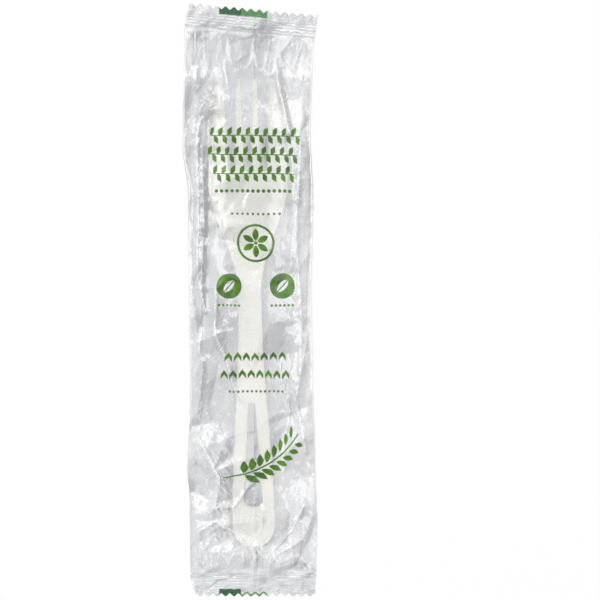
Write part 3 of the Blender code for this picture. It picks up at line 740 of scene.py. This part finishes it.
def makeFork(material):
    piece = placed("forkNet", forkMesh())
    group = piece.vertex_groups.new(name="thickness")
    for vertex in piece.data.vertices:
        group.add([vertex.index], float(forkThickness(vertex.co.y)) / fork["handleThickness"], "REPLACE")
    wall = piece.modifiers.new("wall", "SOLIDIFY")
    wall.thickness = fork["handleThickness"]
    wall.offset = 1
    wall.vertex_group = group.name
    edge = piece.modifiers.new("roundedEdges", "BEVEL")
    edge.width = fork["edgeRound"]
    edge.segments = fork["edgeSteps"]
    edge.limit_method = "ANGLE"
    edge.angle_limit = fork["bevelFrom"]

    def topAt(y):
        return float(forkUnderside(0.0, np.array(y)) + forkThickness(np.array(y)))

    ringAt, radius = fork["ringAt"], fork["ringRadius"]
    bpy.ops.mesh.primitive_torus_add(
        major_radius=radius, minor_radius=fork["ringGroove"], major_segments=72, minor_segments=10
    )
    ring = bpy.context.object
    ring.location = (0, ringAt, topAt(ringAt))
    ring.rotation_euler.x = math.atan((topAt(ringAt + radius) - topAt(ringAt - radius)) / (2 * radius))
    cut = piece.modifiers.new("ringGroove", "BOOLEAN")
    cut.object = ring
    cut.operation = "DIFFERENCE"
    piece.location = forkSeat()
    piece.rotation_euler.z = fork["turn"]
    ring.parent = piece
    bpy.context.view_layer.update()
    made = plainMesh(piece, "forkMoulding")
    bpy.data.objects.remove(ring)
    made.data.materials.clear()
    made.data.materials.append(material)
    made.data.shade_smooth()
    made.data.set_sharp_from_angle(angle=fork["sharpFrom"])
    return made


# Film wrapper: one web folded into a tube, worked out as front and back heights over the plan

def backLift():
    return 2 * film["sheet"] + film["finGap"]


def topEnd(x):
    return film["length"] / 2 - film["topSlant"] * (x / film["width"] + 0.5)


def edges(y):
    share = y / film["length"] + 0.5
    left = -film["width"] / 2 + readTable(film["leftEdge"], share)
    right = film["width"] / 2 - readTable(film["rightEdge"], share)
    waver = 0.10 * mm * (np.sin(y * 420) + np.sin(y * 913 + 1.7) * 0.7)
    return left + np.abs(waver), right - np.abs(0.12 * mm * np.sin(y * 377 + 0.6))


def filmPlan():
    half = film["width"] / 2
    finEdge = film["finRoot"] + film["finWidth"]
    stops = ((-half, film["finRoot"]), (film["finRoot"], finEdge), (finEdge, half))
    columns = [np.linspace(a, b, n, endpoint=False) for (a, b), n in zip(stops, film["columns"])]
    column = np.append(np.concatenate(columns), half)[None, :]
    steps, depth = film["sealRows"], film["sealDepth"]
    inSeal = np.arange(1, steps + 1) / steps * depth
    zeros = np.zeros(steps)
    share = np.concatenate([zeros, np.linspace(0, 1, film["bodyRows"] + 1), zeros + 1])[:, None]
    flat = np.zeros(film["bodyRows"] + 1)
    low = np.concatenate([inSeal[::-1], flat, zeros])[:, None]
    high = np.concatenate([zeros, flat, inSeal])[:, None]
    pastSlant = np.maximum(0, (share - film["slantFrom"]) / (1 - film["slantFrom"]))
    slant = film["topSlant"] * column / film["width"] * pastSlant
    bottom = -film["length"] / 2 + depth
    y = blend(bottom, topEnd(0.0) - depth, share) - slant - low + high
    left, right = edges(y)
    x = np.where(
        column < film["finRoot"],
        blend(left, film["finRoot"], (column + half) / (film["finRoot"] + half)),
        np.where(column > finEdge, blend(finEdge, right, (column - finEdge) / (half - finEdge)), column),
    )
    # the knife's line lies a trim inside each end
    trim = film["sawTrim"] * (ease(low / depth) - ease(high / depth))
    plan = {"x": x, "y": y + trim, "share": share + 0 * x, "low": low + 0 * x, "high": high + 0 * x}
    crumple = sum(facets(x, plan["y"], *net) for net in film["sealNets"])
    plan["sealCrumple"] = crumple * ease(np.maximum(low, high) / (1.5 * mm))
    return plan


def acrossShare(plan):
    left, right = edges(plan["y"])
    return np.clip(2 * (plan["x"] - left) / (right - left) - 1, -1, 1)


def openness(plan, startRamp, endRamp):
    # 0 in a seal and 1 where the tube is fully open
    body = film["length"] - 2 * film["sealDepth"]
    share = plan["share"]
    return np.clip(np.minimum(share * body / startRamp, (1 - share) * body / endRamp), 0, 1)


def backOpenness(plan):
    ramp = film["openBy"] * min(film["handleGap"], film["tineGap"])
    return openness(plan, ramp, ramp)


def sealHeight(plan):
    # both plies curl and crumple together
    x, y = plan["x"], plan["y"]
    curl = film["sealCurl"] * np.cos(2.2 * math.pi * x / (film["width"] / 2))
    return film["sealLift"] + curl + plan["sealCrumple"]


def toLine(x, y, points):
    # distance from each place to a line through the points
    best = np.full(x.shape, 1.0)
    for (ax, ay), (bx, by) in zip(points, points[1:]):
        dx, dy = bx - ax, by - ay
        t = np.clip(((x - ax) * dx + (y - ay) * dy) / (dx * dx + dy * dy), 0, 1)
        best = np.minimum(best, np.hypot(x - ax - t * dx, y - ay - t * dy))
    return best


def creaseHeight(x, y):
    total = np.zeros(x.shape)
    for height, reach, points in creases:
        line = [(a * mm, b * mm) for a, b in points]
        total += height * mm * np.exp(-toLine(x, y, line) / (reach * mm))
    return total


def spots(x, y, table):
    total = np.zeros(x.shape)
    for centreX, centreY, reachX, reachY, weight in table:
        far = ((x - centreX * mm) / (reachX * mm)) ** 2 + ((y - centreY * mm) / (reachY * mm)) ** 2
        total = np.maximum(total, weight * np.exp(-far / 1.4))
    return total


def facets(x, y, spacingX, spacingY, slope, seed):
    # flat facets between scattered points, each point at its own height, as in crushed film
    rng = np.random.default_rng(seed)
    halfX, halfY = film["width"] / 2 + 2 * spacingX, film["length"] / 2 + 2 * spacingY
    columns = np.arange(-halfX, halfX + spacingX, spacingX)
    rows = np.arange(-halfY, halfY + spacingY, spacingY)
    px, py = np.meshgrid(columns, rows)
    stagger = (np.arange(len(rows)) % 2)[:, None] * spacingX / 2
    px = px + rng.uniform(-0.45, 0.45, px.shape) * spacingX + stagger
    py = py + rng.uniform(-0.45, 0.45, py.shape) * spacingY
    pz = rng.uniform(-1, 1, px.shape) * slope * spacingX
    flat = [Vector(p) for p in zip(px.ravel(), py.ravel())]
    corners, _, faces, origin, *_ = geometry.delaunay_2d_cdt(flat, [], [], 0, 1e-9)
    heights = pz.ravel()
    net = BVHTree.FromPolygons([(p.x, p.y, heights[o[0]]) for p, o in zip(corners, origin)], faces)
    down = Vector((0, 0, -1))
    found = [net.ray_cast(Vector((a, b, 1.0)), down)[0].z for a, b in zip(x.ravel(), y.ravel())]
    return np.array(found).reshape(x.shape)


def pleats(x, plan, seed, count, height):
    # straight gathers that run out of each seal and fade into the body
    rng = np.random.default_rng(seed)
    body = film["length"] - 2 * film["sealDepth"]
    total = np.zeros(x.shape)
    for away in (plan["share"] * body, (1 - plan["share"]) * body):
        for _ in range(count):
            start = rng.uniform(-0.46, 0.46) * film["width"]
            lean, width = rng.uniform(-0.25, 0.25), rng.uniform(0.5, 1.1) * mm
            fade = rng.uniform(5, 13) * mm
            size = rng.uniform(0.4, 1.0) * height * rng.choice([-1, 1])
            total += size * np.exp(-np.abs(x - start - lean * away) / width) * np.exp(-away / fade)
    return total


def forkPlace(x, y):
    seat = forkSeat()
    dx, dy = x - seat.x, y - seat.y
    c, s = math.cos(fork["turn"]), math.sin(fork["turn"])
    return dx * c + dy * s, dy * c - dx * s


def forkCover(x, y):
    # the lowest that the front film may hang
    across, lengthways = forkPlace(x, y)
    onFork = np.clip(lengthways, 0, fork["length"])
    half = forkHalfWidth(np.maximum(onFork, fork["endLength"])) + film["tentEdge"]
    beyond = np.maximum(np.abs(across) - half, 0)
    pastEnd = np.maximum(np.maximum(lengthways - fork["length"], -lengthways) - film["tentEdge"], 0)
    rounding = film["tentRound"]
    drop = np.sqrt(beyond**2 + pastEnd**2 + rounding**2) - rounding
    top = forkUnderside(half, onFork) + forkThickness(onFork)
    room = film["coverClearances"] * film["clearance"] + film["sheet"]
    return softened(forkSeat().z + top + room - film["tentSlope"] * drop, film["tentPasses"])


def forkShade(x, y):
    # painted shadow of the fork: 1 against the fork's outline, in its handle slot too, and fading away from
    # it
    across, lengthways = forkPlace(x, y)
    beside = np.abs(across) - forkHalfWidth(np.clip(lengthways, 0, fork["length"]))
    beyond = np.maximum(np.maximum(lengthways - fork["length"], -lengthways), 0)
    gap = np.hypot(np.maximum(beside, 0), beyond)
    along = (lengthways - fork["holeStart"]) / fork["holeLength"]
    hole = blend(fork["holeWide"], fork["holeNarrow"], np.clip(along, 0, 1)) / 2
    inHole = (np.abs(across) < hole) & (along > 0) & (along < 1)
    outside = (beside > 0) | (beyond > 0)
    shade = np.where(outside, np.exp(-gap / film["shadeReach"]), 1.0 * inHole * (1.1 - 0.5 * along))
    return shade * (1 - 0.7 * ease((lengthways - film["shadeTo"]) / film["shadeFade"]))


def airHeight(y):
    _, lengthways = forkPlace(0.0, y)
    handle = fork["handleThickness"] + film["airOverHandle"]
    head = fork["tipThickness"] + film["airOverHead"]
    peaks = (
        (-film["handleGap"], handle),
        (fork["endLength"] * 2, handle),
        (fork["archAt"], fork["archHeight"] + handle),
        (fork["bowlAt"], fork["archHeight"] + head),
        (fork["length"], fork["tineRise"] + head),
        (fork["length"] + film["tineGap"], fork["tineRise"] + head),
    )
    return forkSeat().z + readTable(peaks, lengthways)


def softened(z, passes):
    # rounds the sharpest kinks off a grid of heights
    for _ in range(passes):
        z = np.pad(z, 1, mode="edge")
        z = (z[:, :-2] + 2 * z[:, 1:-1] + z[:, 2:]) / 4
        z = (z[:-2] + 2 * z[1:-1] + z[2:]) / 4
    return z


def frontHeights(plan, under):
    # the front's heights, how far it lies off its smooth form, how crushed it is, where it clings
    # to the fork, and its larger folds
    x, y = plan["x"], plan["y"]
    share = np.abs(acrossShare(plan))
    vault = np.maximum(1 - share**2.2, 0) ** 0.75
    smooth = blend(film["sideLift"], airHeight(y), vault)
    cover = forkCover(x, y)
    gather = 0.5 + 0.3 * np.sin(x * 690 + 1.1) + 0.2 * np.sin(x * 1510 + 0.4)
    ramp = film["openBy"] * (1 - film["gathering"] * gather)
    opened = ease(openness(plan, ramp * film["handleGap"], ramp * film["tineGap"]))
    seal = sealHeight(plan) + film["sheet"] + backLift()
    crush = np.clip(0.34 + spots(x, y, crumpled) - spots(x, y, taut), 0.04, 1.1)
    large, middle, small = (facets(x, y, *net) for net in film["frontNets"])
    detail = creaseHeight(x, y) + large * (0.5 + crush * 0.6) + middle * (0.35 + crush * 0.7)
    detail += small * crush + pleats(x, plan, *film["pleats"])
    near = ease(openness(plan, film["wakeRamp"], film["wakeRamp"])) * np.minimum(1.0, 6 * (1 - share))
    free = blend(seal, smooth, opened) + detail * near
    held = blend(seal, cover, opened) + np.maximum(detail, 0) * near * film["heldShare"]
    body = smoothMax(smoothMax(free, held, 0.5 * mm), under + backLift(), 0.1 * mm)
    z = blend(seal, body, np.minimum(1.0, near * 20))
    flat = blend(seal, np.maximum(smooth, cover), opened)
    across, lengthways = forkPlace(x, y)
    overFork = (np.abs(across) < forkHalfWidth(lengthways)) & (lengthways > 0) & (lengthways < fork["length"])
    cling = np.clip(1.2 - (z - cover) / (1.6 * mm), 0, 1) * overFork
    folds = (creaseHeight(x, y) + large * 1.7 + middle * 1.1) * np.minimum(near + 0.4, 1) * (1 - 0.6 * cling)
    folds += plan["sealCrumple"]
    return {
        "z": z,
        "relief": z - flat,
        "crush": crush * ease(openness(plan, film["wakeRamp"], film["wakeRamp"])),
        "cling": softened(cling, 2),
        "folds": folds,
    }


def backHeights(plan, lift, wrinkle):
    share = np.abs(acrossShare(plan))
    rise = film["sideLift"] * np.maximum((share - film["restShare"]) / (1 - film["restShare"]), 0)
    return blend(sealHeight(plan) - film["sheet"], rise + wrinkle, backOpenness(plan)) + lift


def column(plan, k):
    return {name: grid[:, [k]] for name, grid in plan.items()}


def backPath(plan):
    # from outside: to the fin, under it, back over it, and on to the right
    left, fin, _ = film["columns"]
    last = left + fin
    x, y = plan["x"], plan["y"]
    across, lengthways = forkPlace(x, y)
    share = np.abs(acrossShare(plan))
    onFork = np.clip(lengthways, 0, fork["length"])
    room = forkUnderside(across, onFork)
    beside = np.clip((np.abs(across) - forkHalfWidth(onFork)) / (3 * mm), 0, 1)
    allowed = np.clip(np.maximum(room * 0.6, beside * 1.2 * mm), 0, 0.8 * mm) * ease((1 - share) / 0.12)
    crushed = sum(facets(x, y, *net) for net in film["backNets"])
    wrinkle = np.maximum(crushed, 0) / (1.2 * mm) * allowed
    path, raised = [], backLift()

    def along(k, lift, shift=0.0, ripple=1.0, tucked=0.0):
        here = column(plan, k)
        height = backHeights(here, lift, wrinkle[:, [k]] * ripple)
        path.append((here["x"] + shift, here["y"], height, k, tucked))

    for k in range(1, left):
        along(k, 0.0)
    under = np.linspace(left, last, film["finColumns"] + 1).round().astype(int)
    for k in under:
        along(k, 0.0, 0.0, 0.0, 0.0 if k == left else 1.0)
    for k in under[::-1]:
        along(k, 2 * film["sheet"], film["finFold"] if k == left else 0.0, 0.0, 1.0)
    along(left, raised, film["finFold"], 0.0)
    for k in range(left + 1, last + 1):
        along(k, raised, 0.0, 0.0)
    for k in range(last + 1, x.shape[1] - 1):
        along(k, 0.0)
    return path


def slopes(z, plan):
    alongX = np.gradient(z, axis=1) / np.gradient(plan["x"], axis=1)
    return alongX, np.gradient(z, axis=0) / np.gradient(plan["y"], axis=0)


def bentness(z, x, y):
    # both second slopes together, between next neighbours so that a crease stays thin
    total = np.zeros(z.shape)
    total[:, 1:-1] += (z[:, 2:] - 2 * z[:, 1:-1] + z[:, :-2]) / np.gradient(x, axis=1)[:, 1:-1] ** 2
    total[1:-1] += (z[2:] - 2 * z[1:-1] + z[:-2]) / np.gradient(y, axis=0)[1:-1] ** 2
    return total


def finishLayers(plan, face):
    # what the finish reads: painted highlight on ridges, painted shade in hollows and on slopes, painted
    # light and shade by the side a slope faces, where the film is crushed and held against the fork, and
    # patches of painted highlight and of painted shade
    x, y = plan["x"], plan["y"]
    slopeX, slopeY = slopes(face["relief"], plan)
    foldX, foldY = slopes(face["folds"], plan)
    lit = foldX * math.cos(film["litFrom"]) + foldY * math.sin(film["litFrom"])
    bend = bentness(face["z"], x, y) / film["fullBend"]
    return {
        # ridges: painted highlight, with some of the film's own whitening at creases; valleys: painted shade
        "ridge": np.clip(-bend - film["leastBend"], 0, 1),
        "valley": np.clip(bend - film["leastBend"], 0, 1),
        "steep": np.clip((np.hypot(slopeX, slopeY) - film["steepFrom"]) / film["steepSpan"], 0, 1),
        "lit": np.clip(-lit * film["litGain"], -1, 1),
        "crush": np.clip(face["crush"], 0, 1),
        "cling": face["cling"],
        "paintedSheen": spots(x, y, paintedSheenSpots),
        # painted shade in spots, with the fork's painted shadow added
        "paintedShade": spots(x, y, paintedShadeSpots) + film["shadeFull"] * forkShade(x, y),
    }


def sealLayers(plan):
    # how deep each place lies in a seal, how far the saw pulls it in, and how far the knife's line is
    seal = np.maximum(plan["low"], plan["high"])
    depth = film["sealDepth"]
    return {
        "crimp": seal,
        "sawPull": ease((seal - depth * 0.55) / (depth * 0.45)) * np.where(plan["high"] > 0, -1.0, 1.0),
        "endTop": np.where(plan["share"] > 0.5, depth - plan["high"], 1.0),
        "endBottom": np.where(plan["share"] < 0.5, depth - plan["low"], 1.0),
    }


def putLayer(mesh, name, values):
    mesh.attributes.new(name, "FLOAT", "POINT").data.foreach_set("value", values.astype(np.float32))


def filmMesh():
    plan = filmPlan()
    face = frontHeights(plan, backHeights(plan, 0.0, 0.0))
    z, relief = face["z"], face["relief"]
    rim = blend(sealHeight(plan), film["sideLift"], backOpenness(plan))
    for k in (0, -1):
        z[:, k] = rim[:, k]
        relief[:, k] = 0
    back = backPath(plan)
    rows, columns = z.shape
    front = np.stack([plan["x"], plan["y"], z], -1)
    rear = np.stack([np.concatenate([part[i] for part in back], 1) for i in range(3)], -1)
    points = np.concatenate([front.reshape(-1, 3), rear.reshape(-1, 3)])
    frontIndex = np.arange(rows * columns).reshape(rows, columns)
    rearIndex = rows * columns + np.arange(rows * len(back)).reshape(rows, -1)
    rearIndex = np.concatenate([frontIndex[:, :1], rearIndex, frontIndex[:, -1:]], 1)

    def cells(index, up):
        a, b, c, d = index[:-1, :-1], index[:-1, 1:], index[1:, 1:], index[1:, :-1]
        quads = np.stack((a, b, c, d) if up else (d, c, b, a), -1)
        return quads.reshape(-1, 4).tolist()

    mesh = bpy.data.meshes.new("filmWeb")
    mesh.from_pydata(points.tolist(), [], cells(frontIndex, True) + cells(rearIndex, False))

    layers = [(name, grid, film["backShare"]) for name, grid in finishLayers(plan, face).items()]
    layers += [(name, grid, 1.0) for name, grid in sealLayers(plan).items()]
    backColumns = [part[3] for part in back]
    for name, grid, share in layers:
        putLayer(mesh, name, np.concatenate([grid.ravel(), grid[:, backColumns].ravel() * share]))
    tucked = np.tile([part[4] for part in back], rows)
    putLayer(mesh, "tucked", np.concatenate([np.zeros(rows * columns), tucked]))

    # each place on the flat web for the print, and 1 on the front
    slip = film["printSlip"] * relief
    frontWeb = np.stack([plan["x"] + slip, plan["y"] + slip, np.ones_like(z)], -1)
    rearWeb = np.concatenate([rear[..., :2], np.zeros(rear.shape[:2] + (1,))], -1)
    web = np.concatenate([frontWeb.reshape(-1, 3), rearWeb.reshape(-1, 3)]).ravel()
    mesh.attributes.new("web", "FLOAT_VECTOR", "POINT").data.foreach_set("vector", web.astype(np.float32))
    return mesh


def crimpTree(material):
    # presses the level ribs of the crimp jaws into the seals and saws both ends into rounded teeth
    tree = bpy.data.node_groups.new("crimpAndSaw", "GeometryNodeTree")
    tree.interface.new_socket(name="Geometry", in_out="INPUT", socket_type="NodeSocketGeometry")
    for name in ("Rib Pitch", "Rib Height", "Tooth Pitch", "Tooth Depth"):
        tree.interface.new_socket(name=name, in_out="INPUT", socket_type="NodeSocketFloat")
    tree.interface.new_socket(name="Geometry", in_out="OUTPUT", socket_type="NodeSocketGeometry")
    board = Board(tree)
    given = tree.nodes.new("NodeGroupInput")

    def value(name):
        return Wire(board, given.outputs[name])

    def stored(name):
        return board.add("GeometryNodeInputNamedAttribute", {"data_type": "FLOAT"}, {"Name": name})

    x, _, _ = board.parts(board.add("GeometryNodeInputPosition", {}, {}))
    crimp = stored("crimp")
    rib = (crimp * (2 * math.pi) / value("Rib Pitch")).math("COSINE")
    rib = (1 - rib) * value("Rib Height") * 0.5 * crimp.math("GREATER_THAN", 0.0)
    pitch = value("Tooth Pitch")
    wave = (x + pitch * 40).math("PINGPONG", pitch * 0.5) / pitch * 2
    rounded = wave * 0.45 + wave * wave * (3 - wave * 2) * 0.55
    pull = rounded * value("Tooth Depth") * stored("sawPull")
    offset = board.add("ShaderNodeCombineXYZ", {}, {1: pull, 2: rib})
    moved = board.add("GeometryNodeSetPosition", {}, {"Geometry": value("Geometry"), "Offset": offset})
    real = board.add("GeometryNodeRealizeInstances", {}, {0: moved})
    done = board.add("GeometryNodeSetMaterial", {}, {"Geometry": real, "Material": material})
    out = tree.nodes.new("NodeGroupOutput")
    tree.links.new(done.socket, out.inputs["Geometry"])
    return tree


crimping = {"Rib Pitch": 1.05 * mm, "Rib Height": 0.18 * mm, "Tooth Pitch": 2.9 * mm, "Tooth Depth": 1.2 * mm}


def makeFilm(material):
    web = placed("filmWeb", filmMesh())
    pressed = web.modifiers.new("crimpAndSaw", "NODES")
    pressed.node_group = crimpTree(material)
    for item in pressed.node_group.interface.items_tree:
        if item.in_out == "INPUT" and item.name in crimping:
            pressed[item.identifier] = crimping[item.name]
    made = plainMesh(web, "filmWrapper")
    work = bmesh.new()
    work.from_mesh(made.data)
    rim = [edge for edge in work.edges if edge.is_boundary]
    caps = bmesh.ops.holes_fill(work, edges=rim, sides=0)["faces"]
    for face in caps:
        face.smooth = False
    bmesh.ops.triangulate(work, faces=caps)
    work.to_mesh(made.data)
    work.free()
    made.data.shade_smooth()
    made.data.set_sharp_from_angle(angle=film["sharpFrom"])
    return made


# The set: a pale table, a white surround and four soft boxes

stage = {
    "tableSize": 4.0,
    "tableDrop": 0.2 * mm,
    "tableColour": (0.93, 0.93, 0.93, 1),
    "tableGlow": 0.88,
    "cameraHeight": 1.2,
    "cameraX": 16.84 * mm,
    "cameraY": -0.17 * mm,
    "frameWidth": 206.16 * mm,
    "sensor": 36.0,
    "surround": 0.22,
    # name, power, size, azimuth from +X and elevation in degrees, distance
    "lamps": (
        ("softboxLeft", 4.6, 0.62, 160.0, 42.0, 1.0),
        ("softboxRight", 3.7, 0.62, 10.0, 40.0, 1.0),
        ("softboxTop", 3.2, 0.60, 92.0, 46.0, 1.0),
        ("softboxBottom", 2.5, 0.60, -98.0, 44.0, 1.0),
    ),
}


def makeSet():
    half = stage["tableSize"] / 2
    mesh = bpy.data.meshes.new("table")
    corners = [(a * half, b * half, -stage["tableDrop"]) for a, b in ((-1, -1), (1, -1), (1, 1), (-1, 1))]
    mesh.from_pydata(corners, [], [(0, 1, 2, 3)])
    table = placed("table", mesh)
    mesh.materials.append(surface("paleTable", stage["tableColour"], stage["tableGlow"]))

    world = bpy.data.worlds.new("surround")
    bpy.context.scene.world = world
    world.use_nodes = True
    board = Board(world.node_tree)
    seen = board.add("ShaderNodeLightPath", {}, {}, "Is Camera Ray")
    background = world.node_tree.nodes["Background"]
    background.inputs["Color"].default_value = (1, 1, 1, 1)
    board.put(background.inputs["Strength"], seen * (1 - stage["surround"]) + stage["surround"])

    for name, power, size, azimuth, elevation, distance in stage["lamps"]:
        lamp = bpy.data.lights.new(name, "AREA")
        lamp.energy = power
        lamp.size = size
        holder = placed(name, lamp)
        around, up = math.radians(azimuth), math.radians(elevation)
        level = distance * math.cos(up)
        holder.location = (level * math.cos(around), level * math.sin(around), distance * math.sin(up))
        holder.rotation_euler = (-holder.location).to_track_quat("-Z", "Y").to_euler()

    camera = bpy.data.cameras.new("overhead")
    camera.sensor_width = stage["sensor"]
    camera.lens = stage["sensor"] * stage["cameraHeight"] / stage["frameWidth"]
    camera.clip_start, camera.clip_end = 0.01, 20.0
    eye = placed("overhead", camera)
    eye.location = (stage["cameraX"], stage["cameraY"], stage["cameraHeight"])
    bpy.context.scene.camera = eye
    bpy.context.scene.view_settings.view_transform = "Standard"


makeSet()
print("set: table, surround, lamps and camera")

forkPiece = makeFork(ivoryFinish())
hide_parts("fork")
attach(forkPiece, "root")
print("fork:", len(forkPiece.data.polygons), "faces")

# the photograph shows no shadow of the clear film on its white ground
filmPiece = makeFilm(filmFinish())
filmPiece.visible_shadow = False
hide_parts("wrapper")
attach(filmPiece, "root")
print("film:", len(filmPiece.data.polygons), "faces")
